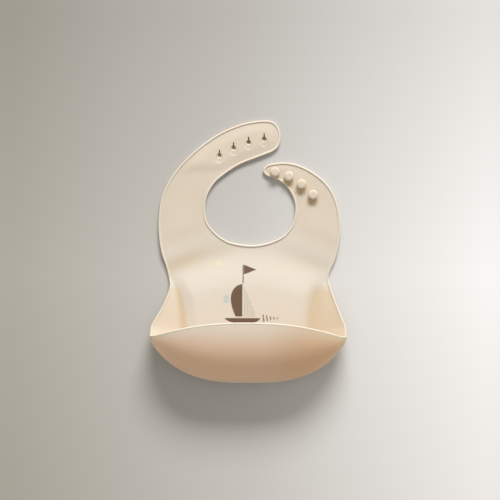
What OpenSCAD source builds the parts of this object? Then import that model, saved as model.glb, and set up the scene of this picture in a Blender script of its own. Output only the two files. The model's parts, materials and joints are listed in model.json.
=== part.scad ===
// Silicone feeding bib with an open food pocket, lying flat on its back.
// +X runs across the bib, +Y from the pocket to the neck, +Z up from the surface it lies on.
// The origin is the middle of the bib's footprint, on that surface. Sizes are millimetres.

/* [Sheet] */
// Thickness of the moulded sheet
sheet_t = 2.2; // [1.8:0.1:2.6]
// Width of the raised bead along the free edges
bead_w = 2.4; // [1.8:0.1:3]
// Height of the bead above the back face
bead_h = 3; // [2.6:0.2:4]

/* [Pocket] */
// Half of the width between the pocket's two corners
pocket_half_w = 112; // [108:1:116]
// How far the pocket's bottom lies below its corners
pocket_drop = 52; // [46:1:58]
// Height of the pocket's corners and of its bottom edge
keel_z = 15; // [12:1:24]
// Height of the rim in the middle
rim_z = 55; // [44:1:60]
// How far the rim arches up between the corners
rim_arch = 18.5; // [10:0.5:24]

/* [Fastening] */
// Height of a stud
stud_h = 5.5; // [5:0.5:8]
// Diameter of a stud's head
stud_d = 11; // [9:0.5:12]
// Diameter of a stud's stem
stud_stem_d = 5; // [4:0.5:6]
// Diameter of a keyhole's round end
keyhole_d = 5.8; // [5.2:0.1:6.2]
// Width of a keyhole's slit
slit_w = 1.6; // [1:0.1:2]
// How far a keyhole's slit reaches above the middle of its round end
slit_l = 6.5; // [5:0.5:8]
// Diameter of the shallow lead-in below a keyhole
lead_in_d = 9.4; // [8:0.2:11]
// How far the middle of the lead-in lies below a keyhole's round end
lead_in_drop = 4; // [3:0.2:6]
// Depth of the lead-in
lead_in_depth = 0.7; // [0.4:0.1:1.2]

/* [Print] */
// Thickness of the printed ink
ink_t = 0.3; // [0.2:0.1:0.5]

/* [Hidden] */

silicone = "#efe0cc";
bead_colour = "#f8ead6";
ink_brown = "#7c6656";
ink_pale = "#dfd9c8";
ink_yellow = "#efe9c4";
ink_blue = "#cddad8";

waist_y = -30;
collar_y = -8;
strap_y = 45;
ring_centre = [1.5, 47];
end_cut_angle = 135;
body_gap = 0.3;
far = 200;

// The free edge from the left waist round both straps to the right waist.
edge_points = [
    [-90.6, -42], [-91.2, -30], [-94.5, -17], [-99.5, -2], [-102.5, 17], [-103, 38], [-100, 60],
    [-91, 81], [-77, 100], [-57, 119], [-34, 135], [-11, 145], [6, 149], [19, 150], [28, 148],
    [34, 141], [36, 131], [34, 121], [28, 115], [19, 111], [6, 106], [-11, 99], [-28, 88],
    [-40, 77], [-48, 62], [-50, 47], [-47, 33], [-38, 21.5], [-24, 12], [-7, 8], [8, 7.5], [24, 10.8],
    [39, 18], [49, 30], [53, 45], [52, 58], [46.5, 70], [38, 79], [28, 84], [20, 87], [16, 92.5],
    [20, 98.5], [28, 101], [40, 102], [54, 100], [70, 93], [86, 81], [97, 66], [103, 47],
    [105, 26], [102.5, 5], [98.5, -10], [93.8, -21], [91.8, -30], [94.5, -42],
];
edge_steps = 4;

// The flaps' free edges and their fold, from the waist to the pocket's corner, drawn on the +X side.
right_flap_points = [[91.8, -30], [94.5, -41], [99, -53], [103.5, -65], [108, -76], [111.6, -86], [112, -96]];
left_flap_points = [[91.2, -30], [90.6, -41], [94.2, -53], [99.6, -65], [105.8, -76], [111, -86], [112, -96]];
fold_points = [[88, -30], [82.5, -41], [78.5, -53], [76.5, -65], [75, -76], [74.3, -87], [74, -94]];
flap_steps = 2;
flap_rise = 1.25;
flap_curl = 1.5;

// The flat back of the pocket ends in half an ellipse inside the pocket's bottom edge.
floor_half_w = 74;
floor_drop = 31;
floor_y = -94;
corner_y = -97;
corner_skip = 8;
side_cells = 11;
middle_cells = 22;
round_in = 35;
strip_cells = 6;
wall_cells = 8;

// The moving part of the front wall lies between these sides, above its flexing line.
wall_half_w = 70;
flex_y = -133;
flex_gap = 3;

stud_places = [[29.8, 91], [45.6, 86], [60.2, 77.2], [73.4, 65.2]];
keyhole_places = [[-33.8, 109.6], [-17.7, 118.3], [-0.5, 124.7], [17.2, 128.5]];

// A smooth curve through the points, with this many steps between each two.
function spline_point(p, i, u) =
    let (
        last = len(p) - 1,
        a = p[max(i - 1, 0)],
        b = p[i],
        c = p[min(i + 1, last)],
        d = p[min(i + 2, last)]
    )
    0.5 * (2 * b + (c - a) * u + (2 * a - 5 * b + 4 * c - d) * u * u + (3 * b - a - 3 * c + d) * u * u * u);
function spline(p, steps) =
    concat([for (i = [0:len(p) - 2], k = [0:steps - 1]) spline_point(p, i, k / steps)], [p[len(p) - 1]]);

function unit(v) = v / norm(v);
function mix(a, b, w) = a * (1 - w) + b * w;
function smooth(w) = let (c = min(max(w, 0), 1)) c * c * (3 - 2 * c);
function mirrored(p) = [-p[0], p[1]];

// An open curve moved to its right-hand side.
function moved_in(p, by) = [
    for (i = [0:len(p) - 1])
        let (t = unit(p[min(i + 1, len(p) - 1)] - p[max(i - 1, 0)])) p[i] + by * [t[1], -t[0]]
];

edge_curve = spline(edge_points, edge_steps);
plate_curve = moved_in(edge_curve, bead_w);

// A station across the raised border: [fold point, edge point, edge height, roundness, outward direction].
function edge_height(y) = keel_z * pow((waist_y - y) / (waist_y - corner_y), flap_rise);
function flap_station(edge, fold) =
    let (
        out = unit(edge - fold),
        inner_edge = edge - min(bead_w, norm(edge - fold) - 0.1) * out
    )
    [fold, inner_edge, edge_height(edge[1]), 0, out];
function flap_stations(points) =
    let (edge = spline(points, flap_steps), fold = spline(fold_points, flap_steps))
    [for (i = [0:len(edge) - 1]) flap_station(edge[i], fold[i])];
function mirrored_station(s) = [mirrored(s[0]), mirrored(s[1]), s[2], s[3], mirrored(s[4])];

// The pocket's bottom edge is a flattened oval with a pointed corner at each end.
function keel_depth(c) = pow(max(1 - pow(abs(c), 2.8), 0), 0.75);
function keel_point(a) = [pocket_half_w * cos(a), corner_y - pocket_drop * keel_depth(cos(a))];
function keel_out(a) =
    let (c = cos(a), slant = 2.1 * pow(abs(c), 1.8) * sign(c) / pow(1 - pow(abs(c), 2.8), 0.25))
    unit([pocket_drop * slant / pocket_half_w, -1]);
function pocket_station(a) = [
    [floor_half_w * cos(a), floor_y + floor_drop * sin(a)],
    keel_point(a),
    keel_z,
    smooth(min(a - 180, 360 - a) / round_in),
    keel_out(a)
];

// The moving part of the front wall ends at these angles, and the pocket's bottom has joints there too.
side_turn = acos(wall_half_w / pocket_half_w);
function turns(a, b, cells) = [for (k = [0:cells]) mix(a, b, k / cells)];
left_angles = turns(180 + corner_skip, 180 + side_turn, side_cells);
middle_angles = turns(180 + side_turn, 360 - side_turn, middle_cells);
right_angles = turns(360 - side_turn, 360 - corner_skip, side_cells);
function stations(angles) = [for (a = angles) pocket_station(a)];

// How far along and how high the border has come at t of its way, for a roundness w.
function run(t, w) = mix(t, sin(90 * t), w);
function rise(t, w) = mix(pow(t, flap_curl), 1 - cos(90 * t), w);
function outside(s, t) =
    let (h = mix(s[0], s[1], run(t, s[3]))) [h[0], h[1], s[2] * rise(t, s[3])];
function slope(s, t) =
    let (
        e = 0.02,
        a = max(t - e, 0),
        b = min(t + e, 1),
        along = (run(b, s[3]) - run(a, s[3])) * norm(s[1] - s[0])
    )
    t == 0 ? 0 : atan2(s[2] * (rise(b, s[3]) - rise(a, s[3])), along);
function inside(s, t) =
    let (f = slope(s, t), o = outside(s, t))
    o + sheet_t * [-sin(f) * s[4][0], -sin(f) * s[4][1], cos(f)];

// The front wall runs from the bottom edge up and back to the rim, in a quarter oval.
function rim_y(x) =
    let (u = abs(x) / pocket_half_w)
    corner_y + rim_arch * (1 - pow(u, 2.3)) - bead_w * smooth(12 * (1 - u));
function rim_height(x) = keel_z + (rim_z - keel_z) * sqrt(max(1 - pow(x / pocket_half_w, 4), 0));
function keel_y(x) = corner_y - pocket_drop * keel_depth(x / pocket_half_w);
function wall_outside(x, v) = [
    x,
    mix(keel_y(x), rim_y(x), 1 - cos(90 * v)),
    mix(keel_z, rim_height(x), sin(90 * v))
];
function wall_inside(x, v) =
    let (
        foot = pocket_station(360 - acos(x / pocket_half_w)),
        f = slope(foot, 1),
        out = foot[4],
        flat = unit(mix(out, [0, -1], smooth(v / 0.3))),
        dy = (rim_y(x) - keel_y(x)) * sin(90 * v),
        dz = (rim_height(x) - keel_z) * cos(90 * v),
        n = unit([dz, dy]),
        at_foot = [-sin(f) * out[0], -sin(f) * out[1], cos(f)],
        above = [-flat[0] * n[0], -flat[1] * n[0], -n[1]]
    )
    wall_outside(x, v) + sheet_t * unit(mix(at_foot, above, smooth(v / 0.2)));
function flex_v(x, y) = acos(1 - (y - keel_y(x)) / (rim_y(x) - keel_y(x))) / 90;

// A closed shell between two grids of points, given as rows.
module shell(outer, inner) {
    rows = len(outer);
    cols = len(outer[0]);
    n = rows * cols;
    points = [for (g = [outer, inner], r = g, p = r) p];
    function at(r, c) = r * cols + c;
    function quad(a, b, c, d) = [[a, b, c], [a, c, d]];
    skin = [for (r = [0:rows - 2], c = [0:cols - 2])
        for (f = quad(at(r, c), at(r, c + 1), at(r + 1, c + 1), at(r + 1, c))) f];
    lining = [for (f = skin) [n + f[2], n + f[1], n + f[0]]];
    long_sides = [for (r = [0:rows - 2]) each concat(
        quad(at(r, 0), at(r + 1, 0), n + at(r + 1, 0), n + at(r, 0)),
        quad(at(r + 1, cols - 1), at(r, cols - 1), n + at(r, cols - 1), n + at(r + 1, cols - 1)))];
    short_sides = [for (c = [0:cols - 2]) each concat(
        quad(at(0, c + 1), at(0, c), n + at(0, c), n + at(0, c + 1)),
        quad(at(rows - 1, c), at(rows - 1, c + 1), n + at(rows - 1, c + 1), n + at(rows - 1, c)))];
    polyhedron(points, concat(skin, lining, long_sides, short_sides));
}

// The border between two of its stations, as a shell.
module border(stations) {
    shell(
        [for (s = stations) [for (k = [0:strip_cells]) inside(s, k / strip_cells)]],
        [for (s = stations) [for (k = [0:strip_cells]) outside(s, k / strip_cells)]]
    );
}

// The front wall between two lists of points, from v0 to v1 up its height.
module wall(xs, v0s, v1s) {
    last = len(xs) - 1;
    shell(
        [
            for (i = [0:last])
            [for (k = [0:wall_cells]) wall_outside(xs[i], mix(v0s[i], v1s[i], k / wall_cells))]
        ],
        [
            for (i = [0:last])
            [for (k = [0:wall_cells]) wall_inside(xs[i], mix(v0s[i], v1s[i], k / wall_cells))]
        ]
    );
}

// A bar of four corners swept along stations, each a list of four points.
module bar(sections) {
    shell(
        [for (s = sections) [s[0], s[1]]],
        [for (s = sections) [s[3], s[2]]]
    );
}

module rows_between(y0, y1) {
    translate([-far, y0])
        square([2 * far, y1 - y0]);
}
module columns_between(x0, x1) {
    translate([x0, -far])
        square([x1 - x0, 2 * far]);
}

// The flat sheet inside its bead, and the bead round it.
module plate_outline() {
    polygon(plate_curve);
}
module bead_outline() {
    difference() {
        polygon(edge_curve);
        polygon(plate_curve);
    }
}

// The half of the plane past the cut between the slotted strap and its end.
module past_end_cut(shift) {
    translate(ring_centre)
        rotate(end_cut_angle)
        translate([-far, shift])
        mirror([0, 1])
        square([2 * far, far]);
}
module stud_strap_area() {
    translate([12, strap_y + body_gap / 2])
        square([far, 104 - strap_y]);
}
module slot_strap_area() {
    difference() {
        intersection() {
            rows_between(strap_y + body_gap / 2, far);
            columns_between(-far, 0);
        }
        past_end_cut(body_gap / 2);
    }
}
module slot_end_area() {
    difference() {
        intersection() {
            rows_between(strap_y + 1, far);
            past_end_cut(-body_gap / 2);
        }
        stud_strap_area();
    }
}

// A round end whose shoulders run up into a slit, above a shallow round lead-in.
module keyholes() {
    for (p = keyhole_places)
        translate([p[0], p[1], 0]) {
            translate([0, 0, -1])
                cylinder(h = sheet_t + 2, d = keyhole_d, $fn = 48);
            translate([0, 0, -1])
                linear_extrude(sheet_t + 2)
                polygon([
                    [-slit_w / 2, slit_l],
                    [-slit_w / 2, 3.5],
                    [-1.6, 2],
                    [1.6, 2],
                    [slit_w / 2, 3.5],
                    [slit_w / 2, slit_l],
                ]);
            translate([0, -lead_in_drop, sheet_t - lead_in_depth])
                cylinder(h = 2, d = lead_in_d, $fn = 48);
        }
}

module stud(i) {
    neck_h = stud_h * 0.45;
    crown = stud_h - neck_h - 1;
    color(silicone)
        translate([stud_places[i][0], stud_places[i][1], sheet_t])
        rotate_extrude($fn = 48)
        polygon(concat(
            [[0, 0], [stud_stem_d / 2 + 0.6, 0], [stud_stem_d / 2, 0.6], [stud_stem_d / 2, neck_h]],
            [for (k = [0:6]) [stud_d / 2 * cos(15 * k), neck_h + 1 + crown * sin(15 * k)]]
        ));
}

module chest_panel() {
    color(silicone)
        linear_extrude(sheet_t)
        intersection() {
            plate_outline();
            rows_between(waist_y, collar_y - body_gap / 2);
        }
}

module chest_bead(side) {
    color(bead_colour)
        linear_extrude(bead_h)
        intersection() {
            bead_outline();
            rows_between(waist_y, collar_y - body_gap / 2);
            columns_between(side > 0 ? 70 : -far, side > 0 ? far : -70);
        }
}
module chest_bead_left() { chest_bead(-1); }
module chest_bead_right() { chest_bead(1); }

// The flaps' stations, the left ones down to the corner and the right ones up from it.
left_flap = [for (s = flap_stations(left_flap_points)) mirrored_station(s)];
right_flap_down = flap_stations(right_flap_points);
right_flap = [for (i = [len(right_flap_down) - 1:-1:0]) right_flap_down[i]];

module pocket_back() {
    color(silicone)
        linear_extrude(sheet_t)
        polygon(concat(
            [for (s = left_flap) s[0]],
            [for (s = stations(concat(left_angles, middle_angles, right_angles))) s[0]],
            [for (s = right_flap) s[0]]
        ));
}

module gusset_right() {
    color(silicone)
        border(concat([pocket_station(360 - corner_skip)], right_flap));
}
module gusset_left() {
    color(silicone)
        border(concat(left_flap, [pocket_station(180 + corner_skip)]));
}

// The bead on a flap's edge: a bar beside the edge, a little proud of the sheet.
module gusset_bead(flap) {
    proud = bead_h - sheet_t;
    color(bead_colour)
        bar([
            for (s = flap)
                let (
                    low = outside(s, 1),
                    high = inside(s, 1) + [0, 0, proud],
                    out = [s[4][0], s[4][1], 0] * bead_w
                )
                [low, low + out, high + out, high]
        ]);
}
module gusset_bead_left() { gusset_bead(left_flap); }
module gusset_bead_right() { gusset_bead(right_flap); }

module pocket_floor(angles) {
    color(silicone)
        border(stations(angles));
}
module pocket_floor_left() { pocket_floor(left_angles); }
module pocket_floor_middle() { pocket_floor(middle_angles); }
module pocket_floor_right() { pocket_floor(right_angles); }

function xs(angles) = [for (a = angles) pocket_half_w * cos(a)];
sill_xs = xs(middle_angles);
middle_xs = [for (x = sill_xs) x * (1 - body_gap / wall_half_w)];
side_xs = xs(right_angles);

module pocket_sill() {
    color(silicone)
        wall(sill_xs, [for (x = sill_xs) 0], [for (x = sill_xs) flex_v(x, flex_y - flex_gap / 2)]);
}
module pocket_wall() {
    color(silicone)
        wall(middle_xs, [for (x = middle_xs) flex_v(x, flex_y + flex_gap / 2)], [for (x = middle_xs) 1]);
}
module pocket_side_right() {
    color(silicone)
        wall(side_xs, [for (x = side_xs) 0], [for (x = side_xs) 1]);
}
module pocket_side_left() {
    mirror([1, 0, 0])
        pocket_side_right();
}

// The bead on the pocket's rim, flush with the wall's outside and proud on its inside.
module rim_bead(xs) {
    back = [0, bead_w, 0];
    down = [0, 0, -bead_h];
    color(bead_colour)
        bar([for (x = xs) let (top = wall_outside(x, 1)) [top, top + back, top + back + down, top + down]]);
}
module rim_bead_middle() { rim_bead(middle_xs); }
module rim_bead_right() {
    rim_bead([for (x = side_xs) if (x < pocket_half_w - bead_w - 0.3) x]);
}
module rim_bead_left() {
    mirror([1, 0, 0])
        rim_bead_right();
}

module collar() {
    color(silicone)
        linear_extrude(sheet_t)
        intersection() {
            plate_outline();
            rows_between(collar_y + body_gap / 2, strap_y - body_gap / 2);
        }
}

module collar_bead(x0, x1) {
    color(bead_colour)
        linear_extrude(bead_h)
        intersection() {
            bead_outline();
            rows_between(collar_y + body_gap / 2, strap_y - body_gap / 2);
            columns_between(x0, x1);
        }
}
module collar_bead_left() { collar_bead(-far, -70); }
module collar_bead_right() { collar_bead(70, far); }
module neck_bead() { collar_bead(-70, 70); }

module slot_strap() {
    color(silicone)
        linear_extrude(sheet_t)
        intersection() {
            plate_outline();
            slot_strap_area();
        }
}

// The slotted strap's outer and inner beads lie on either side of this circle.
module strap_middle() {
    translate(ring_centre)
        circle(75, $fn = 96);
}
module slot_strap_bead_outer() {
    color(bead_colour)
        linear_extrude(bead_h)
        difference() {
            intersection() {
                bead_outline();
                slot_strap_area();
            }
            strap_middle();
        }
}
module slot_strap_bead_inner() {
    color(bead_colour)
        linear_extrude(bead_h)
        intersection() {
            bead_outline();
            slot_strap_area();
            strap_middle();
        }
}

module slot_end() {
    color(silicone)
        difference() {
            linear_extrude(sheet_t)
                intersection() {
                    plate_outline();
                    slot_end_area();
                }
            keyholes();
        }
}
module slot_end_bead() {
    color(bead_colour)
        linear_extrude(bead_h)
        intersection() {
            bead_outline();
            slot_end_area();
        }
}

module stud_strap() {
    color(silicone)
        linear_extrude(sheet_t)
        intersection() {
            plate_outline();
            stud_strap_area();
        }
}
module stud_strap_bead() {
    color(bead_colour)
        linear_extrude(bead_h)
        intersection() {
            bead_outline();
            stud_strap_area();
        }
}
module stud_1() { stud(0); }
module stud_2() { stud(1); }
module stud_3() { stud(2); }
module stud_4() { stud(3); }

// Ink lies on top of the sheet.
module ink(colour) {
    color(colour)
        translate([0, 0, sheet_t])
        linear_extrude(ink_t)
        children();
}
// A straight printed stroke with square ends.
module stroke(a, b, w) {
    translate(a)
        rotate(atan2(b[1] - a[1], b[0] - a[0]))
        translate([0, -w / 2])
        square([norm(b - a), w]);
}

mast_x = -6;
sail_foot_y = -74;
sail_head_y = -37;
sail_belly = 13;

// A sail with a straight mast edge and a bellied outer edge.
module print_sail() {
    ink(ink_brown)
        polygon(concat(
            [[mast_x - 0.6, sail_foot_y], [mast_x - 0.6, sail_head_y]],
            [for (k = [1:12])
                let (u = k / 12)
                [mast_x - 0.6 - sail_belly * pow(sin(180 * pow(u, 0.62) * 0.86), 0.9) - 2 * u,
                    mix(sail_head_y, sail_foot_y, u)]]
        ));
}
module print_pennant() {
    ink(ink_brown)
        polygon([[mast_x, -15], [mast_x, -31], [mast_x - 0.8, -31], [mast_x - 0.8, -15]]);
    ink(ink_brown)
        polygon([[mast_x + 0.2, -15], [mast_x + 15, -20], [mast_x + 0.2, -26]]);
}
module print_jib() {
    ink(ink_pale)
        for (k = [0:6])
            stroke([mast_x + 1.4 + 2 * k, sail_foot_y], [mast_x + 1.4 + 2 * k, -40 - 4.4 * k], 0.8);
}
module print_hull() {
    ink(ink_brown)
        polygon([[-27, -76], [14, -76], [8, -81], [-20, -81]]);
}
module print_waves() {
    ink(ink_brown)
        for (k = [0:4])
            stroke([18 + 4 * k, -80 + k], [17 + 4 * k, -72 - k], 1);
}
module print_sun() {
    color(ink_yellow)
        translate([-34, -14, sheet_t])
        cylinder(h = ink_t, d = 8, $fn = 48);
}
module print_cloud() {
    ink(ink_blue)
        polygon([for (k = [0:23]) [-25 + 3.2 * cos(15 * k), -54 + 4.6 * sin(15 * k)]]);
}

chest_panel();
chest_bead_left();
chest_bead_right();
pocket_back();
gusset_left();
gusset_right();
gusset_bead_left();
gusset_bead_right();
pocket_floor_left();
pocket_floor_middle();
pocket_floor_right();
pocket_sill();
pocket_side_left();
pocket_side_right();
rim_bead_left();
rim_bead_right();
pocket_wall();
rim_bead_middle();
collar();
collar_bead_left();
collar_bead_right();
neck_bead();
slot_strap();
slot_strap_bead_outer();
slot_strap_bead_inner();
slot_end();
slot_end_bead();
stud_strap();
stud_strap_bead();
stud_1();
stud_2();
stud_3();
stud_4();
print_sail();
print_pennant();
print_jib();
print_hull();
print_waves();
print_sun();
print_cloud();
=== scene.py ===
"""A cream silicone feeding bib lying flat on its back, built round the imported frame."""

import json
import math

import bpy
import numpy as np
from mathutils.geometry import delaunay_2d_cdt
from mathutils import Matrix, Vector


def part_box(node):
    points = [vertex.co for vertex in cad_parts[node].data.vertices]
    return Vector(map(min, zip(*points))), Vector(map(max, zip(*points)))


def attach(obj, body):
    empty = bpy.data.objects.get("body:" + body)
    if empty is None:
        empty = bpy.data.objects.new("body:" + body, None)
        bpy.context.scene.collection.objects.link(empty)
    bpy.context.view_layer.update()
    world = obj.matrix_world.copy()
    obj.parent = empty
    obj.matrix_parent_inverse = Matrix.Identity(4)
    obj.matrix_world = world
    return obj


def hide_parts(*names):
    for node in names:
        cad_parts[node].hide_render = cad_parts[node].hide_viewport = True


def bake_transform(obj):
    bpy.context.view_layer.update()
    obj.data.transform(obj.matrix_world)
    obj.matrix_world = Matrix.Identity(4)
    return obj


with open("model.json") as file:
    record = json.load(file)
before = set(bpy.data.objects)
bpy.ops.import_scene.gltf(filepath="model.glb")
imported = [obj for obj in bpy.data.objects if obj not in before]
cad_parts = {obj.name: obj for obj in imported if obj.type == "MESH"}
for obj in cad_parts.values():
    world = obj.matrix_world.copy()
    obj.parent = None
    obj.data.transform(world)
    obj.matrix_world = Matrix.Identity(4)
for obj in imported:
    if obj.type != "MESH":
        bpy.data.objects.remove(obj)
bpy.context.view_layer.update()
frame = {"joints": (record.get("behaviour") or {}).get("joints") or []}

MM = 0.001  # the shapes below are worked out in millimetres


# ---------------------------------------------------------------- sizes from the frame

def box_mm(node):
    """A node's lowest and highest corners, in millimetres."""
    low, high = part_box(node)
    return np.array(low) / MM, np.array(high) / MM


def joint_mm(name):
    """Where a joint's axis passes, in millimetres."""
    joint = next(j for j in frame["joints"] if j["name"] == name)
    return np.array(joint["pos_m"]) / MM


SHEET_T = box_mm("collar")[1][2]
BEAD_H = box_mm("neck_bead")[1][2]
BEAD_W = 2.4
POCKET_HALF_W = box_mm("gusset_bead_right")[1][0]
POCKET_LOW_Y = box_mm("pocket_floor_middle")[0][1]
RIM_Z = box_mm("pocket_wall")[1][2]
KEEL_Z = 15.0
CORNER_Y = -97.0
POCKET_DROP = CORNER_Y - POCKET_LOW_Y
RIM_ARCH = 18.5
RIM_POWER = 2.3
RIM_BOX = 4.0  # how squarely the rim rises from the corners
WAIST_Y = box_mm("pocket_back")[1][1]
STRAP_HINGE_Y = joint_mm("slot_strap_lift")[1]
RING_CENTRE = np.array([1.5, 47.0])
END_WAY = np.array([1.0, 1.0]) / math.sqrt(2)  # square to the cut before the slotted end, towards it

# How far each side of its hinge a flexing band reaches.
STRAP_BAND = 18.0
END_BAND = 20.0
STRAP_SEAM_Y = STRAP_HINGE_Y - STRAP_BAND - 3
END_SEAM = -END_BAND - 4

# The free edge, from the left waist round both straps to the right waist.
EDGE_POINTS = [
    (-90.6, -42), (-91.2, -30), (-94.5, -17), (-99.5, -2), (-102.5, 17), (-103, 38), (-100, 60),
    (-91, 81), (-77, 100), (-57, 119), (-34, 135), (-11, 145), (6, 149), (19, 150), (28, 148),
    (34, 141), (36, 131), (34, 121), (28, 115), (19, 111), (6, 106), (-11, 99), (-28, 88),
    (-40, 77), (-48, 62), (-50, 47), (-47, 33), (-38, 21.5), (-24, 12), (-7, 8), (8, 7.5), (24, 10.8),
    (39, 18), (49, 30), (53, 45), (52, 58), (46.5, 70), (38, 79), (28, 84), (20, 87), (16, 92.5),
    (20, 98.5), (28, 101), (40, 102), (54, 100), (70, 93), (86, 81), (97, 66), (103, 47),
    (105, 26), (102.5, 5), (98.5, -10), (93.8, -21), (91.8, -30), (94.5, -42),
]
# The flaps' free edges and their fold, drawn on the +X side.
RIGHT_FLAP_POINTS = [
    (91.8, -30), (94.5, -41), (99, -53), (103.5, -65), (108, -76), (111.6, -86), (112, -96),
]
LEFT_FLAP_POINTS = [
    (91.2, -30), (90.6, -41), (94.2, -53), (99.6, -65), (105.8, -76), (111, -86), (112, -96),
]
FOLD_POINTS = [(88, -30), (82.5, -41), (78.5, -53), (76.5, -65), (75, -76), (74.3, -87), (74, -94)]
FLOOR_HALF_W = 74.0
FLOOR_DROP = 31.0
FLOOR_Y = -94.0
KEYHOLES = [(-33.8, 109.6), (-17.7, 118.3), (-0.5, 124.7), (17.2, 128.5)]
STUD_NODES = ["stud_1", "stud_2", "stud_3", "stud_4"]
STUDS = [sum(box_mm(node))[:2] / 2 for node in STUD_NODES]
STUD_STEM_R = 2.5
KEYHOLE_R = 2.8
SLIT_HALF_W = 0.7
SLIT_L = 6.5
KEYHOLE_DRAFT = 0.6  # a keyhole's width at the back of the sheet against its width on top
LEAD_IN_R = 4.7
LEAD_IN_DROP = 4.0
LEAD_IN_DEPTH = 0.3


# ---------------------------------------------------------------- small mathematics

def smooth(w):
    """0 below 0, 1 above 1, and smooth between."""
    w = np.clip(w, 0.0, 1.0)
    return w * w * (3 - 2 * w)


def unit(v):
    v = np.asarray(v, float)
    return v / np.maximum(np.linalg.norm(v, axis=-1, keepdims=True), 1e-12)


def spline(points, steps):
    """A smooth open curve through the points."""
    p = np.array(points, float)
    last = len(p) - 1
    out = []
    for i in range(last):
        a, b, c, d = p[max(i - 1, 0)], p[i], p[i + 1], p[min(i + 2, last)]
        for k in range(steps):
            u = k / steps
            out.append(0.5 * (2 * b + (c - a) * u + (2 * a - 5 * b + 4 * c - d) * u * u
                              + (3 * b - a - 3 * c + d) * u ** 3))
    return np.array(out + [p[last]])


def even(points, step):
    """The same curve with points about step apart."""
    along = np.concatenate([[0], np.cumsum(np.linalg.norm(np.diff(points, axis=0), axis=1))])
    at = np.linspace(0, along[-1], max(2, int(round(along[-1] / step)) + 1))
    return np.stack([np.interp(at, along, points[:, k]) for k in range(points.shape[1])], axis=1)


def side_of(points):
    """The unit direction to the left of an open plane curve at each point, outwards on the bib's edge."""
    t = unit(np.gradient(points, axis=0))
    return np.stack([-t[:, 1], t[:, 0]], axis=1)


def crossings(curve, point, normal):
    """Where an open curve crosses a line, as fractional indices."""
    d = (curve - np.array(point)) @ np.array(normal)
    i = np.nonzero(d[:-1] * d[1:] < 0)[0]
    return i + d[i] / (d[i] - d[i + 1])


def stretch(curve, a, b):
    """The part of a curve between two fractional indices, with its ends."""
    def at(x):
        i = min(int(x), len(curve) - 2)
        return curve[i] + (curve[i + 1] - curve[i]) * (x - i)
    lo, hi = (a, b) if a < b else (b, a)
    inner = [curve[i] for i in range(math.ceil(lo + 0.2), math.floor(hi - 0.2) + 1)]
    part = np.array([at(lo)] + inner + [at(hi)])
    return part if a < b else part[::-1]


def inside_polygon(points, polygon):
    """Which points lie inside a closed polygon."""
    x, y = points[:, 0][:, None], points[:, 1][:, None]
    x0, y0 = polygon[:, 0], polygon[:, 1]
    x1, y1 = np.roll(x0, -1), np.roll(y0, -1)
    over = (y0 > y) != (y1 > y)
    cut = x0 + (y - y0) * (x1 - x0) / np.where(y1 == y0, 1e-9, y1 - y0)
    return (over & (x < cut)).sum(axis=1) % 2 == 1


# ---------------------------------------------------------------- the lie of the sheet

FOLD = spline(FOLD_POINTS, 8)
edge_line = even(spline(EDGE_POINTS, 24), 1.5)
CREASE_HALF_W = 87.0
CREASE_DROP = 20.0  # how much lower the crease is at its ends than in the middle
CHEST_RISE = 3.0
COLLAR_RISE = 1.2
END_RISE = 1.0


def fold_x(y):
    """Half of the width between the folds at a height along the bib."""
    return np.interp(-np.asarray(y, float), -FOLD[:, 1], FOLD[:, 0])


def above_crease(x, y):
    """How far a point is above the crease, which arches over the chest."""
    return y + 1 + CREASE_DROP * (x / CREASE_HALF_W) ** 2


def end_arch(x, y):
    """How far in from the free edge a point of the slotted end is: 0 at its bead and 1 along its middle."""
    x, y = np.broadcast_arrays(np.asarray(x, float), np.asarray(y, float))
    reach = smooth((y - 88) / 14) * (x < 45)
    out = np.zeros(x.shape)
    there = reach > 0
    if there.any():
        dx, dy = x[there][:, None] - edge_line[:, 0], y[there][:, None] - edge_line[:, 1]
        away = np.hypot(dx, dy).min(axis=1)
        out[there] = smooth((away - BEAD_W * 0.6) / 13)
    return out * reach


def lie(x, y):
    """Height of the sheet's back above the floor: a crowned chest, the crease over it, and a soft collar."""
    x, y = np.asarray(x, float), np.asarray(y, float)
    above = above_crease(x, y)
    chest = CHEST_RISE * smooth(-above / 42) * smooth((fold_x(y) - np.abs(x)) / 17) * smooth((y + 122) / 26)
    collar = COLLAR_RISE * smooth(above / 24) * (1 - smooth((above - 24) / 44))
    straps = 0.3 * (1 + np.sin(x / 13 + 1.2) * np.sin(y / 17 + 0.6)) * smooth((above - 20) / 30)
    return chest + collar + straps + END_RISE * end_arch(x, y)


def lie_normal(x, y):
    """The upward normal of the lie."""
    e = 0.5
    dx = (lie(x + e, y) - lie(x - e, y)) / (2 * e)
    dy = (lie(x, y + e) - lie(x, y - e)) / (2 * e)
    return unit(np.stack([-dx, -dy, np.ones_like(dx)], axis=-1))


# ---------------------------------------------------------------- the pocket's shape

ROUND_IN = 35.0
FLAP_RISE = 1.25
FLAP_CURL = 1.5


def flap_stations(points, count):
    """Rows (fold, edge, height, roundness, outward) up a flap on the +X side, from waist to corner."""
    edge = spline(points, 16)
    fold = spline(FOLD_POINTS, 16)
    rows = []
    for k in range(count):
        i = k * (len(edge) - 1) / (count - 1)
        e, f = (stretch(curve, 0, i)[-1] if i else curve[0] for curve in (edge, fold))
        out = unit(e - f)
        height = KEEL_Z * max((WAIST_Y - e[1]) / (WAIST_Y - CORNER_Y), 0) ** FLAP_RISE
        rows.append((f, e - out * min(BEAD_W * 0.6, np.linalg.norm(e - f) - 0.1), height, 0.0, out))
    return rows


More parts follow.
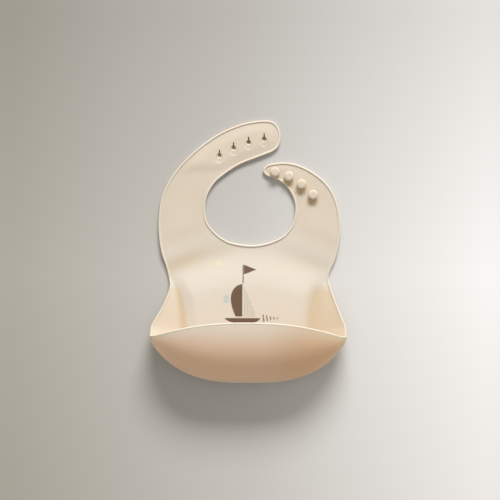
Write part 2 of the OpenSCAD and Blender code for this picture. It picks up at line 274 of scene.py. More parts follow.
def pocket_station(angle):
    """The same row at an angle in degrees round the pocket's bottom, a flat oval with pointed corners."""
    a = math.radians(angle)
    c, s = math.cos(a), math.sin(a)
    below = max(1 - abs(c) ** 2.8, 1e-9)
    slant = 2.1 * math.copysign(abs(c) ** 1.8, c) / below ** 0.25
    return (
        np.array([FLOOR_HALF_W * c, FLOOR_Y + FLOOR_DROP * s]),
        np.array([POCKET_HALF_W * c, CORNER_Y - POCKET_DROP * below ** 0.75]),
        KEEL_Z,
        float(smooth(min(angle - 180, 360 - angle) / ROUND_IN)),
        unit([POCKET_DROP * slant / POCKET_HALF_W, -1]),
    )


def border_pair(station, t):
    """The outside and inside points at t of the way from the fold to the edge."""
    fold, edge, height, w, out = station
    quarter = math.pi / 2

    def run(u):
        return (1 - w) * u + w * math.sin(quarter * u)

    def rise(u):
        return (1 - w) * u ** FLAP_CURL + w * (1 - math.cos(quarter * u))

    e = 0.02
    low, high = max(t - e, 0), min(t + e, 1)
    along = (run(high) - run(low)) * np.linalg.norm(edge - fold)
    slope = math.atan2(height * (rise(high) - rise(low)), along) if t else 0.0
    xy = fold + (edge - fold) * run(t)
    outer = np.array([xy[0], xy[1], height * rise(t)])
    lean = np.array([-math.sin(slope) * out[0], -math.sin(slope) * out[1], math.cos(slope)])
    return outer, outer + SHEET_T * lean


def rim_y(x):
    u = abs(x) / POCKET_HALF_W
    return CORNER_Y + RIM_ARCH * (1 - u ** RIM_POWER) - BEAD_W * 0.6 * float(smooth(12 * (1 - u)))


def rim_z(x):
    return KEEL_Z + (RIM_Z - KEEL_Z) * math.sqrt(max(1 - abs(x / POCKET_HALF_W) ** RIM_BOX, 0))


def wall_pair(angle, v):
    """The outside and inside points of the front wall at v of the way up from the bottom edge."""
    station = pocket_station(angle)
    keel, out = station[1], station[4]
    x, top_y, top_z = keel[0], rim_y(keel[0]), rim_z(keel[0])
    quarter = math.pi / 2 * v
    outer = np.array([x, keel[1] + (top_y - keel[1]) * (1 - math.cos(quarter)),
                      KEEL_Z + (top_z - KEEL_Z) * math.sin(quarter)])
    n = unit([(top_z - KEEL_Z) * math.cos(quarter), (top_y - keel[1]) * math.sin(quarter)])
    turn, start = float(smooth(v / 0.5)), float(smooth(v / 0.2))
    flat = unit(out * (1 - turn) + np.array([0.25 * out[0], -1.0]) * turn)
    foot = border_pair(station, 1.0)
    lean = np.array([-flat[0] * n[0], -flat[1] * n[0], -n[1]])
    inwards = unit(foot[1] - foot[0]) * (1 - start) + lean * start
    return outer, outer + SHEET_T * unit(inwards)


# ---------------------------------------------------------------- meshes

def sheet_tones(points):
    """How much painted shade, duller and warmer, and how translucent the silicone is at each point, each
    from 0 to 1.

    Painted shade makes the straps, the crease, the folds and the right of the front wall duller. Warmer
    painted shade lies on the folds, the flaps, the front wall, the crease's left end and the keyholes'
    edges, and as painted shadows below the studs. The stretched front wall lets the most light through."""
    x, y, z = points[:, 0], points[:, 1], points[:, 2]
    above = above_crease(x, y)
    low = z < KEEL_Z - 3
    # painted shade: a darker band along the crease, heavier towards its ends
    strength = 0.9 - 0.9 * smooth((x + 85) / 85) + 0.4 * smooth((x - 25) / 40)
    crease = strength * np.exp(-((above - 4) / 9) ** 2) * low
    # painted shade: the crease's band, and the straps darker than the chest
    painted_shade = crease + 0.9 * smooth((above - 10) / 30)
    # painted shade: a darker, warmer line along each fold, heavier on the left, and warmer flaps, more on
    # the right one
    lower = smooth((-34 - y) / 14)
    left = x < 0
    out = np.abs(x) - fold_x(y) + np.where(left, 0, 3)
    fold = np.where(left, 0.8, 0.6) * np.exp(-(out / np.where(left, 3.6, 6)) ** 2) * lower * low
    flap = np.where(left, 0.3, 0.55) * smooth(out / 8) * lower
    # front marks the front wall. Painted shade there: warmer all over, more towards its bottom edge and its
    # right end, and darker towards the right
    front = smooth((z - 14) / 16) * smooth((-74 - y) / 6)
    wall = front * (0.22 + 0.45 * smooth((-86 - y) / 40) + 0.35 * smooth((x - 20) / 50))
    painted_shade = painted_shade + 0.8 * front * smooth((x - 10) / 60) + 0.8 * fold
    # painted shadows: a warmer patch on the sheet just below each stud, and painted shade on the keyholes'
    # edges and slits
    painted_shadow = np.zeros_like(x)
    for sx, sy in STUDS:
        near = np.exp(-((x - sx) / 6) ** 4 - ((y - sy + 5) / 6) ** 4)
        painted_shadow = np.maximum(painted_shadow, 1.3 * near * (z < 5))
    for kx, ky in KEYHOLES:
        slit = (np.abs(x - kx) < 0.9) & (y > ky) & (y < ky + SLIT_L + 0.3)
        edge = (np.hypot(x - kx, y - ky) < KEYHOLE_R + 0.2) & (y > ky - 1)
        painted_shadow = np.maximum(painted_shadow, edge | slit)
    # the warmer painted shade, with the crease painted warmer towards its left end
    painted_warm_shade = (fold + flap) * (1 - front) + wall + painted_shadow + 0.35 * crease * smooth(-x / 30)
    glow = front * smooth((-82 - y) / 20)
    return np.clip(painted_shade, 0, 1), np.clip(painted_warm_shade, 0, 1), np.clip(glow, 0, 1)


def make_object(name, points, faces, smooth_angle=40.0, normals=None):
    """A mesh object from points in millimetres.

    normals maps a face's number to one normal for each corner."""
    mesh = bpy.data.meshes.new(name)
    mesh.from_pydata([tuple(p * MM) for p in np.asarray(points, float)], [], faces)
    mesh.polygons.foreach_set("use_smooth", [True] * len(mesh.polygons))
    mesh.set_sharp_from_angle(angle=math.radians(smooth_angle))
    if normals:
        loops = np.zeros((len(mesh.loops), 3))
        for polygon in mesh.polygons:
            if polygon.index in normals:
                for loop, n in zip(polygon.loop_indices, normals[polygon.index]):
                    loops[loop] = n
        mesh.normals_split_custom_set([tuple(n) for n in loops])
    mesh.validate()
    tones = sheet_tones(np.array([tuple(v.co) for v in mesh.vertices]) / MM)
    for key, values in zip(("painted_shade", "painted_warm_shade", "glow"), tones):
        mesh.attributes.new(key, "FLOAT", "POINT").data.foreach_set("value", values)
    obj = bpy.data.objects.new(name, mesh)
    bpy.context.scene.collection.objects.link(obj)
    return obj


def face_normal(p):
    """A normal of a face with three or four corners."""
    return np.cross(p[2] - p[0], p[3] - p[1]) if len(p) == 4 else np.cross(p[1] - p[0], p[2] - p[0])


def solid(name, outer, inner, faces, inner_normals=None):
    """A closed solid between two surfaces with the same faces.

    inner_normals fixes the shading of the inner one."""
    outer, inner = np.asarray(outer, float), np.asarray(inner, float)
    n = len(outer)
    turned = []
    for f in faces:
        up = (inner[list(f)] - outer[list(f)]).mean(axis=0)
        turned.append(tuple(f) if face_normal(inner[list(f)]) @ up > 0 else tuple(reversed(f)))
    edges = {}
    for f in turned:
        for a, b in zip(f, f[1:] + f[:1]):
            edges[(a, b)] = edges.get((a, b), 0) + 1
    rim = [(a, b) for a, b in edges if (b, a) not in edges]
    all_faces = [tuple(n + i for i in f) for f in turned]
    all_faces += [tuple(reversed(f)) for f in turned]
    all_faces += [(n + b, n + a, a, b) for a, b in rim]
    shade = None
    if inner_normals is not None:
        shade = {k: [inner_normals[i] for i in f] for k, f in enumerate(turned)}
    return make_object(name, np.concatenate([outer, inner]), all_faces, normals=shade)


def surface_normals(points, faces, towards):
    """Smooth normals of a surface, on the side that towards points to."""
    out = np.zeros_like(points)
    for f in faces:
        normal = face_normal(points[list(f)])
        if normal @ towards[list(f)].mean(axis=0) < 0:
            normal = -normal
        for i in f:
            out[i] += normal
    return unit(out)


def fill(loops, spacing, extra=None):
    """Triangles over the area of the first loop less the others: (points, triangles)."""
    outline = loops[0]
    low, high = outline.min(axis=0), outline.max(axis=0)
    rows = np.arange(low[1], high[1], spacing * 0.866)
    grid = np.array([
        (x + (spacing / 2 if k % 2 else 0), y)
        for k, y in enumerate(rows) for x in np.arange(low[0], high[0], spacing)
    ])
    if extra is not None:
        far = np.min(np.linalg.norm(grid[:, None] - extra[None], axis=2), axis=1) > spacing * 0.5
        grid = np.concatenate([grid[far], extra])
    keep = inside_polygon(grid, outline)
    for hole in loops[1:]:
        keep &= ~inside_polygon(grid, hole)
    grid = grid[keep]
    edge_points = np.concatenate(loops)
    gap = np.full(len(grid), spacing * 0.45)
    if extra is not None:
        near = np.min(np.linalg.norm(grid[:, None] - extra[None], axis=2), axis=1) < 1e-6
        gap[near] = 0.12
    nearest = np.array([np.min(np.linalg.norm(edge_points - g, axis=1)) for g in grid])
    grid = grid[nearest > gap]
    points = np.concatenate([edge_points, grid])
    constraints, first = [], 0
    for loop in loops:
        constraints += [(first + i, first + (i + 1) % len(loop)) for i in range(len(loop))]
        first += len(loop)
    made, _, faces, _, _, _ = delaunay_2d_cdt([tuple(p) for p in points], constraints, [], 0, 1e-6)
    made = np.array([tuple(p) for p in made])
    faces = [tuple(f) for f in faces]
    middle = np.array([made[list(f)].mean(axis=0) for f in faces])
    keep = inside_polygon(middle, outline)
    for hole in loops[1:]:
        keep &= ~inside_polygon(middle, hole)
    return made, [f for f, k in zip(faces, keep) if k]


def flat_skin(name, loops, spacing=3.2, extra=None, dip=None, draft=None):
    """A stretch of the sheet over an area, following its lie.

    dip(x, y) is how far its top is sunk, and draft(xy) is where a point of the top has its partner below."""
    xy, faces = fill(loops, spacing, extra)
    low = lie(xy[:, 0], xy[:, 1])
    sunk = dip(xy[:, 0], xy[:, 1]) if dip else 0.0
    outer = np.column_stack([draft(xy) if draft else xy, low])
    inner = np.column_stack([xy, low + SHEET_T - sunk])
    normals = lie_normal(xy[:, 0], xy[:, 1])
    if dip:
        shaped = surface_normals(inner, faces, inner - outer)
        flat = (np.abs(shaped[:, 2]) > 0.995)[:, None]
        normals = np.where(flat, normals, shaped)
    return solid(name, outer, inner, faces, normals)


def bead_section(sides=20, power=3.0):
    """The bead's rounded section: across from -1 to 1, and up from 0 to 1."""
    out = []
    for k in range(sides):
        a = 2 * math.pi * k / sides
        c, s = math.cos(a), math.sin(a)
        across = math.copysign(abs(c) ** (2 / power), c)
        up = math.copysign(abs(s) ** (2 / power), s)
        out.append((across, 0.5 + 0.5 * up))
    return out


def sweep(paths, name):
    """Beads along paths, each (points, outward directions, upward directions), closed with flat ends."""
    points, faces = [], []
    section = bead_section()
    for line, out, up in paths:
        base = len(points)
        rows = len(line)
        for p, o, u in zip(line, out, up):
            points += [p + o * a * BEAD_W / 2 + u * b * BEAD_H for a, b in section]
        m = len(section)
        for r in range(rows - 1):
            for c in range(m):
                a, b = base + r * m + c, base + r * m + (c + 1) % m
                faces.append((a, b, b + m, a + m))
        faces.append(tuple(base + c for c in reversed(range(m))))
        faces.append(tuple(base + (rows - 1) * m + c for c in range(m)))
    return make_object(name, points, faces, smooth_angle=50)


# ---------------------------------------------------------------- the flat parts

edge_out = side_of(edge_line)
bead_line = edge_line - edge_out * BEAD_W / 2
plate_line = edge_line - edge_out * BEAD_W * 0.6


def cuts(curve):
    """Where the seams between the skin's pieces cross a curve, in order along it."""
    waist = crossings(curve, (0, WAIST_Y), (0, 1))
    strap = crossings(curve, (0, STRAP_SEAM_Y), (0, 1))
    end = crossings(curve, RING_CENTRE + END_WAY * END_SEAM, END_WAY)
    end = end[(end > strap[0]) & (end < strap[1])]
    return {
        "left_waist": waist[0], "left_outer": strap[0], "end_outer": end[0], "end_inner": end[-1],
        "left_inner": strap[1], "right_inner": strap[2], "right_outer": strap[3], "right_waist": waist[-1],
    }


def closed(*parts):
    """One closed loop from curves laid end to end, with its straight joins filled in."""
    out = []
    for i, part in enumerate(parts):
        out.append(part)
        start, end = part[-1], parts[(i + 1) % len(parts)][0]
        count = int(np.linalg.norm(end - start) / 2.5)
        if count > 1:
            out.append(np.array([start + (end - start) * k / count for k in range(1, count)]))
    return np.concatenate(out)


def keyhole_outline(x, y):
    """A round end whose shoulders run up into a slit."""
    start = math.radians(35)
    shoulder = [(1.15, 2.85), (0.9, 3.2), (SLIT_HALF_W, 3.6)]
    turns = np.linspace(start, 2 * math.pi - start, 26)
    arc = [(KEYHOLE_R * math.sin(a), KEYHOLE_R * math.cos(a)) for a in turns]
    top = [
        (-SLIT_HALF_W * math.cos(a), SLIT_L - SLIT_HALF_W + SLIT_HALF_W * math.sin(a))
        for a in np.linspace(0, math.pi, 7)
    ]
    return np.array(arc + [(-a, b) for a, b in shoulder] + top + shoulder[::-1]) + (x, y)


def keyhole_draft(xy):
    """The keyholes' outlines drawn in a little at the back of the sheet, as a mould leaves them."""
    out = xy.copy()
    for kx, ky in KEYHOLES:
        side, up = xy[:, 0] - kx, xy[:, 1] - ky
        on_edge = (np.abs(side) < KEYHOLE_R + 0.05) & (up > -KEYHOLE_R - 0.05) & (up < SLIT_L + 0.05)
        on_edge &= np.hypot(side, up) < np.where(up < 2.4, KEYHOLE_R + 0.05, SLIT_L + 0.05)
        on_edge &= (up < 2.4) | (np.abs(side) < 1.3)
        out[on_edge, 0] = kx + side[on_edge] * KEYHOLE_DRAFT
        out[on_edge, 1] = ky + np.minimum(up[on_edge], 0) * KEYHOLE_DRAFT + np.maximum(up[on_edge], 0)
    return out


def lead_in_dip(x, y):
    """How far the top is sunk in the round lead-ins below the keyholes and the fine line down each."""
    sunk = np.zeros_like(x)
    for kx, ky in KEYHOLES:
        r = np.hypot(x - kx, y - (ky - LEAD_IN_DROP))
        line = 0.45 * smooth((0.55 - np.abs(x - kx)) / 0.3) * smooth((LEAD_IN_R - 0.6 - r) / 0.5)
        sunk = np.maximum(sunk, LEAD_IN_DEPTH * smooth((LEAD_IN_R - r) / 0.5) + line)
    return sunk


def lead_in_points():
    """Extra points that carry the lead-ins' rims and the lines down them."""
    out = []
    for kx, ky in KEYHOLES:
        for r in (LEAD_IN_R + 0.35, LEAD_IN_R, LEAD_IN_R - 0.25, LEAD_IN_R - 0.5, LEAD_IN_R - 1.2):
            out += [
                (kx + r * math.cos(a), ky - LEAD_IN_DROP + r * math.sin(a))
                for a in np.linspace(0, 2 * math.pi, 40, endpoint=False)
            ]
        out += [
            (kx + side, ky - 3.6 - step)
            for side in (-0.55, -0.2, 0.2, 0.55) for step in np.arange(0, 6.0, 0.75)
        ]
    return np.array(out)


def build_flat_skins():
    """The collar and the three strap pieces."""
    c = cuts(plate_line)

    def part(a, b):
        return stretch(plate_line, c[a], c[b])

    collar = flat_skin("collar_skin", [closed(
        part("left_waist", "left_outer"), part("left_inner", "right_inner"),
        part("right_outer", "right_waist"))])
    strap = flat_skin("slot_strap_skin", [closed(
        part("left_outer", "end_outer"), part("end_inner", "left_inner"))])
    end = flat_skin(
        "slot_end_skin",
        [closed(part("end_outer", "end_inner"))] + [keyhole_outline(*k) for k in KEYHOLES],
        spacing=2.4, extra=lead_in_points(), dip=lead_in_dip, draft=keyhole_draft)
    stud = flat_skin("stud_strap_skin", [closed(part("right_inner", "right_outer"))])
    return collar, strap, end, stud


def edge_bead(name, *spans):
    """A bead along stretches of the free edge, on the lie of the sheet."""
    paths = []
    c = cuts(bead_line)
    for a, b in spans:
        xy = stretch(bead_line, c[a], c[b])
        line = np.column_stack([xy, lie(xy[:, 0], xy[:, 1])])
        out = np.column_stack([side_of(xy), np.zeros(len(xy))])
        paths.append((line, out, np.tile([0.0, 0.0, 1.0], (len(xy), 1))))
    return sweep(paths, name)


# ---------------------------------------------------------------- the chest, flaps and pocket

BORDER_CELLS = 12
WALL_CELLS = 26
CORNER_SKIP = 4.0
FLAP_BEAD_FADE = 0.25  # how much lower a flap's bead is at the pocket's corner than at the waist
RIM_PROUD = 0.15


def mirrored(station):
    flip = np.array([-1.0, 1.0])
    fold, edge, height, w, out = station
    return fold * flip, edge * flip, height, w, out * flip


def build_lower_skin():
    """The chest below the waist, both flaps, the pocket's bottom and its front wall, as one skin."""
    right, left = flap_stations(RIGHT_FLAP_POINTS, 30), flap_stations(LEFT_FLAP_POINTS, 30)
    angles = np.linspace(180 + CORNER_SKIP, 360 - CORNER_SKIP, 110)
    stations = [mirrored(s) for s in left] + [pocket_station(a) for a in angles] + right[::-1]
    outer, inner, known = [], [], {}

    def add(pair):
        key = tuple(np.round(pair[0], 3))
        if key not in known:
            known[key] = len(outer)
            outer.append(pair[0])
            inner.append(pair[1])
        return known[key]

    faces = []
    grid = [[add(border_pair(s, t / BORDER_CELLS)) for t in range(BORDER_CELLS + 1)] for s in stations]
    rows = [[add(wall_pair(a, v / WALL_CELLS)) for v in range(WALL_CELLS + 1)] for a in angles]
    for table in (grid, rows):
        for r in range(len(table) - 1):
            for k in range(len(table[0]) - 1):
                f = (table[r][k], table[r][k + 1], table[r + 1][k + 1], table[r + 1][k])
                faces.append(f if len(set(f)) == 4 else tuple(dict.fromkeys(f)))
    border = len(outer)
    loop = np.array([outer[g[0]][:2] for g in grid])
    xy, flat_faces = fill([closed(loop)], 3.2)
    index = []
    for p in xy:
        z = float(lie(p[0], p[1]))
        index.append(add((np.array([p[0], p[1], z]), np.array([p[0], p[1], z + SHEET_T]))))
    faces += [tuple(index[i] for i in f) for f in flat_faces]
    outer, inner = np.array(outer), np.array(inner)
    normals = surface_normals(inner, faces, inner - outer)
    normals[border:] = lie_normal(inner[border:, 0], inner[border:, 1])
    return solid("pocket_skin", outer, inner, faces, normals)


def build_pocket_bead():
    """The bead on both flaps' edges and on the rim."""
    paths = []
    left = [mirrored(s) for s in flap_stations(LEFT_FLAP_POINTS, 60)]
    for flap in (left, flap_stations(RIGHT_FLAP_POINTS, 60)):
        line, out, up = [], [], []
        for s in flap:
            low, high = border_pair(s, 1.0)
            o = np.array([s[4][0], s[4][1], 0.0])
            u = unit(high - low)
            flat = unit(o - u * (o @ u))
            line.append(low + flat * BEAD_W * 0.1)
            out.append(flat)
            up.append(u * (1 - FLAP_BEAD_FADE * s[2] / KEEL_Z))
        paths.append((np.array(line), np.array(out), np.array(up)))
    line, out, up = [], [], []
    for a in np.linspace(180.0, 360.0, 160):
        x = POCKET_HALF_W * math.cos(math.radians(a)) * 0.999
        steep = smooth((abs(x) / POCKET_HALF_W - 0.8) / 0.2)
        tilt = np.array([math.copysign(0.9 * steep, x), 0.0, 1.0])
        u = unit(tilt)
        line.append(np.array([x, rim_y(x) + BEAD_W * 0.1, rim_z(x)]) + u * (RIM_PROUD - BEAD_H))
        out.append(np.array([0.0, 1.0, 0.0]))
        up.append(u)
    paths.append((np.array(line), np.array(out), np.array(up)))
    return sweep(paths, "pocket_bead")


# ---------------------------------------------------------------- studs

def build_stud(node):
    """A mushroom stud turned about its own axis, where the frame has it."""
    low, high = box_mm(node)
    x, y = (low[0] + high[0]) / 2, (low[1] + high[1]) / 2
    base = float(lie(x, y)) + SHEET_T
    r, h, stem = (high[0] - low[0]) / 2, high[2] - low[2], STUD_STEM_R
    profile = [(stem + 0.9, -0.3), (stem + 0.55, 0.12), (stem + 0.22, 0.4), (stem, 0.9), (stem, h * 0.34)]
    under = h * 0.4
    profile += [(stem + 0.4, under - 0.1), (r - 1.1, under)]
    lip = 0.7
    profile += [
        (r - lip + lip * math.sin(a), under + lip - lip * math.cos(a)) for a in np.linspace(0.2, 1.5, 5)
    ]
    shoulder = under + 1.7
    profile += [(r, shoulder)]
    profile += [
        (r * math.cos(a) ** 0.5, shoulder + (h - shoulder) * math.sin(a))
        for a in np.linspace(0.12, math.pi / 2 - 0.06, 12)
    ]
    turns = 56
    points, faces = [], []
    for pr, pz in profile:
        points += [
            (x + pr * math.cos(a), y + pr * math.sin(a), base + pz)
            for a in (2 * math.pi * k / turns for k in range(turns))
        ]
    for i in range(len(profile) - 1):
        for k in range(turns):
            a, b = i * turns + k, i * turns + (k + 1) % turns
            faces.append((a, b, b + turns, a + turns))
    faces.append(tuple(reversed(range(turns))))
    last = (len(profile) - 1) * turns
    top = len(points)
    points.append((x, y, base + h))
    faces += [(last + k, last + (k + 1) % turns, top) for k in range(turns)]
    return make_object(node + "_piece", np.array(points), faces, smooth_angle=60)


# ---------------------------------------------------------------- the printed boat

INK_T = 0.16
MAST_X = -6.0
SAIL_FOOT_Y = -74.0
SAIL_HEAD_Y = -37.0


def ink(name, outlines, spacing=2.0):
    """Printed ink over closed outlines, on the lie of the sheet."""
    outer, inner, faces, normals = [], [], [], []
    for outline in outlines:
        xy, made = fill([np.array(outline, float)], spacing)
        base = len(outer)
        top = lie(xy[:, 0], xy[:, 1]) + SHEET_T
        outer += [(p[0], p[1], z - 0.1) for p, z in zip(xy, top)]
        inner += [(p[0], p[1], z + INK_T) for p, z in zip(xy, top)]
        normals += list(lie_normal(xy[:, 0], xy[:, 1]))
        faces += [tuple(base + i for i in f) for f in made]
    return solid(name, outer, inner, faces, np.array(normals))


def stroke(a, b, w, wobble=0.0):
    """The outline of a hand-printed stroke with round ends."""
    a, b = np.array(a, float), np.array(b, float)
    t = unit(b - a)
    n = np.array([-t[1], t[0]])
    length = np.linalg.norm(b - a)
    count = max(3, int(length / 1.2))
    side = []
    for k in range(count + 1):
        u = k / count
        half = w / 2 * (1 + wobble * math.sin(9.0 * u + a[0]) + wobble * math.sin(23.0 * u + a[1]))
        side.append((a + (b - a) * u, half))
    left = [p + n * h for p, h in side]
    right = [p - n * h for p, h in side[::-1]]
    return np.array(left + [b + t * w * 0.4] + right + [a - t * w * 0.4])


def even_loop(points, step=1.2):
    """A closed outline with its sides filled in with points."""
    p = np.array(points, float)
    return even(np.concatenate([p, p[:1]]), step)[:-1]


def sail_outline():
    """A straight mast edge and a bellied outer edge."""
    belly = []
    for k in range(1, 25):
        u = k / 24
        bulge = 12.2 * math.sin(math.pi * u ** 0.62 * 0.86) ** 0.9
        belly.append((MAST_X - 0.8 - bulge - 2 * u, SAIL_HEAD_Y + (SAIL_FOOT_Y - SAIL_HEAD_Y) * u))
    return even_loop([(MAST_X - 0.8, SAIL_FOOT_Y), (MAST_X - 0.8, SAIL_HEAD_Y)] + belly)


def build_print():
    """A small sailing boat with a pennant, a sun, a cloud and waves."""
    sail = ink("print_sail_piece", [sail_outline()])
    pennant = ink("print_pennant_piece", [
        stroke((MAST_X, -15.5), (MAST_X, -36), 1.0, 0.1),
        even_loop([(MAST_X + 0.9, -15), (MAST_X + 15, -20.5), (MAST_X + 0.9, -26)]),
    ])
    jib = ink("print_jib_piece", [
        stroke((MAST_X + 1.6 + 1.9 * k, SAIL_FOOT_Y), (MAST_X + 1.6 + 1.9 * k, -40 - 4.4 * k), 0.7, 0.1)
        for k in range(7)
    ])
    hull = ink("print_hull_piece", [even_loop([
        (-27, -76), (14, -76), (12.5, -78), (9, -80.3), (5, -81), (-16, -81), (-21, -80), (-25, -78)])])
    waves = ink("print_waves_piece", [
        stroke((18 + 4 * k, -80 + k), (17 + 4 * k, -72 - k), 1.1, 0.15) for k in range(5)])
    turn = np.linspace(0, 2 * math.pi, 40, endpoint=False)
    sun = ink("print_sun_piece", [np.column_stack([-34 + 4 * np.cos(turn), -14 + 4 * np.sin(turn)])])
    cloud = ink("print_cloud_piece", [
        np.column_stack([-25 + 3.2 * np.cos(turn), -54 + 4.6 * np.sin(turn)])])
    return {"print_sail": sail, "print_pennant": pennant, "print_jib": jib, "print_hull": hull,
            "print_waves": waves, "print_sun": sun, "print_cloud": cloud}


# ---------------------------------------------------------------- materials

def linear(r, g, b):
    """An sRGB colour from 0 to 255 as a linear one."""
    parts = [((c / 255 + 0.055) / 1.055) ** 2.4 if c > 10 else c / 255 / 12.92 for c in (r, g, b)]
    return tuple(parts) + (1.0,)


class Nodes:
    """A short way to add and join a material's nodes."""

    def __init__(self, name):
        self.material = bpy.data.materials.new(name)
        self.material.use_nodes = True
        self.tree = self.material.node_tree
        self.shader = self.tree.nodes["Principled BSDF"]

    def add(self, kind, **values):
        node = self.tree.nodes.new(kind)
        for key, value in values.items():
            if key in node.inputs:
                node.inputs[key].default_value = value
            else:
                setattr(node, key, value)
        return node

    def join(self, a, b):
        self.tree.links.new(a, b)

    def ramp(self, source, stops):
        """A colour ramp over a value, from (place, colour) pairs."""
        node = self.add("ShaderNodeValToRGB")
        ramp = node.color_ramp
        while len(ramp.elements) < len(stops):
            ramp.elements.new(0.5)
        for element, (place, colour) in zip(ramp.elements, stops):
            element.position = place
            element.color = colour
        self.join(source, node.inputs["Fac"])
        return node.outputs["Color"]

    def mix(self, factor, a, b, blend="MIX"):
        """A colour mix; each input is a socket or a colour."""
        node = self.add("ShaderNodeMix", data_type="RGBA", blend_type=blend)
        for socket, value in ((node.inputs[0], factor), (node.inputs[6], a), (node.inputs[7], b)):
            if isinstance(value, bpy.types.NodeSocket):
                self.join(value, socket)
            else:
                socket.default_value = value
        return node.outputs[2]

    def noise(self, scale, detail=2.0, roughness=0.5, distortion=0.0):
        place = self.add("ShaderNodeTexCoord")
        node = self.add("ShaderNodeTexNoise", Scale=scale, Detail=detail, Roughness=roughness,
                        Distortion=distortion)
        self.join(place.outputs["Object"], node.inputs["Vector"])
        return node.outputs["Fac"]

    def scaled(self, source, given, wanted, name):
        """Join a value to one of the shader's sockets, scaled from one range to another."""
        node = self.add("ShaderNodeMapRange")
        for key, value in zip(("From Min", "From Max", "To Min", "To Max"), given + wanted):
            node.inputs[key].default_value = value
        self.join(source, node.inputs["Value"])
        self.join(node.outputs["Result"], self.shader.inputs[name])

    def bump(self, height, strength, distance):
        node = self.add("ShaderNodeBump", Strength=strength, Distance=distance)
        self.join(height, node.inputs["Height"])
        self.join(node.outputs["Normal"], self.shader.inputs["Normal"])


def silicone(name, base, painted_shade, painted_warm_shade, glow=0.85):
    """Matt soft-touch silicone: a faint cloudiness, a fine skin, light passing through it, and painted
    shade, duller and warmer, laid on from the mesh's tones.
    """
    m = Nodes(name)

    def tone(key):
        return m.add("ShaderNodeAttribute", attribute_name=key).outputs["Fac"]

    cloud = m.mix(m.noise(18.0, 3.0, 0.55), linear(255, 255, 255), linear(248, 247, 245))
    # painted shade: the base mixed towards the duller, then the warmer shade colour, by the mesh's tones
    colour = m.mix(tone("painted_warm_shade"), m.mix(tone("painted_shade"), base, painted_shade), painted_warm_shade)
    m.join(m.mix(1.0, colour, cloud, "MULTIPLY"), m.shader.inputs["Base Color"])
    m.scaled(m.noise(60.0, 4.0, 0.6), (0.3, 0.7), (0.50, 0.62), "Roughness")
    m.scaled(tone("glow"), (0.0, 1.0), (0.2, glow), "Subsurface Weight")
    m.scaled(tone("glow"), (0.0, 1.0), (0.003, 0.005), "Subsurface Scale")
    m.shader.inputs["IOR"].default_value = 1.41
    m.shader.inputs["Specular IOR Level"].default_value = 0.35
    m.shader.inputs["Subsurface Radius"].default_value = (1.0, 0.6, 0.3)
    m.bump(m.noise(900.0, 3.0, 0.6), 0.12, 0.0002)
    return m.material


def printed_ink(name, colour, worn, cover=0.5):
    """Matt ink with a chalky grain, worn back towards the silicone in small specks."""
    m = Nodes(name)
    grain = m.noise(1100.0, 3.0, 0.7)
    streak = m.noise(300.0, 3.0, 0.6, 0.6)
    speck = m.ramp(grain, [(cover - 0.06, (1, 1, 1, 1)), (cover + 0.14, (0, 0, 0, 1))])
    darker, lighter = (tuple(min(c * k, 1.0) for c in colour[:3]) + (1.0,) for k in (0.82, 1.18))
    tone = m.mix(streak, darker, lighter)
    m.join(m.mix(speck, worn, tone), m.shader.inputs["Base Color"])
    m.shader.inputs["Roughness"].default_value = 0.7
    m.shader.inputs["IOR"].default_value = 1.45
    m.bump(grain, 0.25, 0.0002)
    return m.material


# the silicone's colour, and the duller and warmer colours of its painted shade
CREAM = linear(230, 221, 209)
PAINTED_SHADE_CREAM = linear(216, 203, 187)
PAINTED_WARM_SHADE_CREAM = linear(221, 198, 163)

silicone_material = silicone("silicone_sheet", CREAM, PAINTED_SHADE_CREAM, PAINTED_WARM_SHADE_CREAM)
# the beads' own duller and warmer painted shade colours
bead_material = silicone("silicone_bead", CREAM, linear(224, 214, 198), linear(228, 214, 194), 0.2)
brown_ink = printed_ink("brown_ink", linear(58, 38, 28), linear(112, 88, 70), 0.30)
pale_ink = printed_ink("pale_ink", linear(184, 180, 168), linear(206, 198, 184), 0.40)
yellow_ink = printed_ink("yellow_ink", linear(232, 226, 190), linear(232, 222, 200), 0.40)
blue_ink = printed_ink("blue_ink", linear(176, 194, 196), linear(206, 208, 202), 0.40)


def finish_piece(obj, material):
    obj.data.materials.append(material)
    return obj


# ---------------------------------------------------------------- assembly


def bend_collar(obj):
    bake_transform(obj)


def bend_strap(obj):
    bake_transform(obj)


def bend_end(obj):
    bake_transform(obj)


def bend_pocket(obj):
    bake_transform(obj)


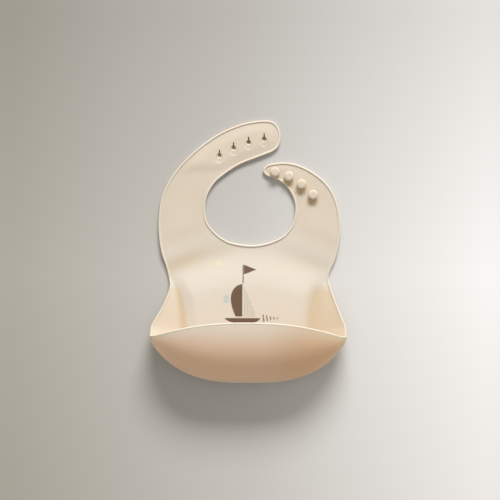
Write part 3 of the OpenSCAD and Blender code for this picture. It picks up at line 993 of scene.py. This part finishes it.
def build_bib():
    collar, strap, end, stud = build_flat_skins()
    for obj in (collar, strap, end, stud):
        finish_piece(obj, silicone_material)
    bend_collar(collar)
    bend_strap(strap)
    bend_end(end)
    bend_strap(stud)
    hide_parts("chest_panel", "collar")
    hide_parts("slot_strap")
    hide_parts("slot_end")
    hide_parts("stud_strap")

    lower = finish_piece(build_lower_skin(), silicone_material)
    bend_pocket(lower)
    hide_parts("pocket_back", "gusset_left", "gusset_right",
                "pocket_floor_left", "pocket_floor_middle", "pocket_floor_right",
                "pocket_sill", "pocket_side_left", "pocket_side_right", "pocket_wall")
    rim = finish_piece(build_pocket_bead(), bead_material)
    bend_pocket(rim)
    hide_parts("gusset_bead_left", "gusset_bead_right",
                "rim_bead_left", "rim_bead_right", "rim_bead_middle")

    beads = {
        "left_side_bead": ([("left_waist", "left_outer")], bend_collar,
                           ["chest_bead_left", "collar_bead_left"]),
        "right_side_bead": ([("right_outer", "right_waist")], bend_collar,
                            ["chest_bead_right", "collar_bead_right"]),
        "neck_edge_bead": ([("left_inner", "right_inner")], bend_collar, ["neck_bead"]),
        "slot_strap_bead": ([("left_outer", "end_outer"), ("end_inner", "left_inner")],
                            lambda o: bend_strap(o),
                            ["slot_strap_bead_outer", "slot_strap_bead_inner"]),
        "slot_tip_bead": ([("end_outer", "end_inner")], bend_end, ["slot_end_bead"]),
        "stud_edge_bead": ([("right_inner", "right_outer")], lambda o: bend_strap(o),
                           ["stud_strap_bead"]),
    }
    for name, (spans, bend, nodes) in beads.items():
        bead = finish_piece(edge_bead(name, *spans), bead_material)
        bend(bead)
        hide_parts(*nodes)

    for node in STUD_NODES:
        piece = finish_piece(build_stud(node), silicone_material)
        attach(piece, "stud_strap")
        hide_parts(node)

    inks = {"print_jib": (pale_ink, "ink_pale"), "print_sun": (yellow_ink, "ink_yellow"),
            "print_cloud": (blue_ink, "ink_blue")}
    for node, piece in build_print().items():
        material, slot = inks.get(node, (brown_ink, "ink_brown"))
        finish_piece(piece, material)
        bend_collar(piece)
        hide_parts(node)


# ---------------------------------------------------------------- camera, light and floor

def build_camera():
    """Straight above the bib, a long way off, turned a little."""
    camera = bpy.data.objects.new("camera", bpy.data.cameras.new("camera"))
    height, view_width, sensor = 1.6, 0.5725, 36.0
    camera.data.sensor_width = sensor
    camera.data.lens = sensor * height / view_width
    camera.location = (0.0017, 0.0018, height)
    camera.rotation_euler = (0.0, 0.0, math.radians(0.3))
    bpy.context.scene.collection.objects.link(camera)
    bpy.context.scene.camera = camera


def area_light(name, azimuth, elevation, distance, width, height, power, colour):
    """A soft oval light aimed at the middle of the bib. Azimuth is from +X towards +Y."""
    light = bpy.data.lights.new(name, "AREA")
    light.shape = "ELLIPSE"
    light.size = width
    light.size_y = height
    light.energy = power
    light.color = colour
    obj = bpy.data.objects.new(name, light)
    a, e = math.radians(azimuth), math.radians(elevation)
    flat = distance * math.cos(e)
    obj.location = (flat * math.cos(a), flat * math.sin(a), distance * math.sin(e))
    obj.rotation_euler = (math.pi / 2 - e, 0.0, a + math.pi / 2)
    bpy.context.scene.collection.objects.link(obj)


def build_stage():
    """A pale table top with painted shade, darker to the left and towards the top."""
    mesh = bpy.data.meshes.new("floor")
    half, drop = 3.0, -0.0002
    corners = [(-half, -half, drop), (half, -half, drop), (half, half, drop), (-half, half, drop)]
    mesh.from_pydata(corners, [], [(0, 1, 2, 3)])
    floor = bpy.data.objects.new("floor", mesh)
    bpy.context.scene.collection.objects.link(floor)
    m = Nodes("floor_painted_shade")
    place = m.add("ShaderNodeTexCoord")
    axes = m.add("ShaderNodeSeparateXYZ")
    m.join(place.outputs["Object"], axes.inputs["Vector"])

    def across(axis, reach=0.27):
        scale = m.add("ShaderNodeMapRange")
        scale.inputs["From Min"].default_value = -reach
        scale.inputs["From Max"].default_value = reach
        m.join(axes.outputs[axis], scale.inputs["Value"])
        return scale.outputs["Result"]

    # painted shade: the floor's colour darkens to the left and towards the top
    side = m.ramp(across("X"), [
        (0.0, linear(175, 171, 163)), (0.5, linear(205, 203, 200)), (1.0, linear(244, 243, 244))])
    top = m.ramp(across("Y"), [
        (0.0, linear(252, 251, 250)), (0.45, linear(255, 255, 255)), (1.0, linear(220, 219, 218))])
    m.join(m.mix(1.0, side, top, "MULTIPLY"), m.shader.inputs["Base Color"])
    m.shader.inputs["Roughness"].default_value = 0.9
    m.shader.inputs["Specular IOR Level"].default_value = 0.2
    floor.data.materials.append(m.material)


def build_light():
    """A low soft window light from the top of the bib, in a pale room."""
    area_light("key", azimuth=81.0, elevation=28.0, distance=3.5, width=2.4, height=0.95, power=162.0,
               colour=(1.0, 0.995, 0.99))
    world = bpy.data.worlds.new("studio")
    bpy.context.scene.world = world
    world.use_nodes = True
    background = world.node_tree.nodes["Background"]
    background.inputs["Color"].default_value = (0.895, 0.866, 0.80, 1.0)
    background.inputs["Strength"].default_value = 0.52
    bpy.context.scene.view_settings.view_transform = "Standard"


build_bib()
build_camera()
build_stage()
build_light()
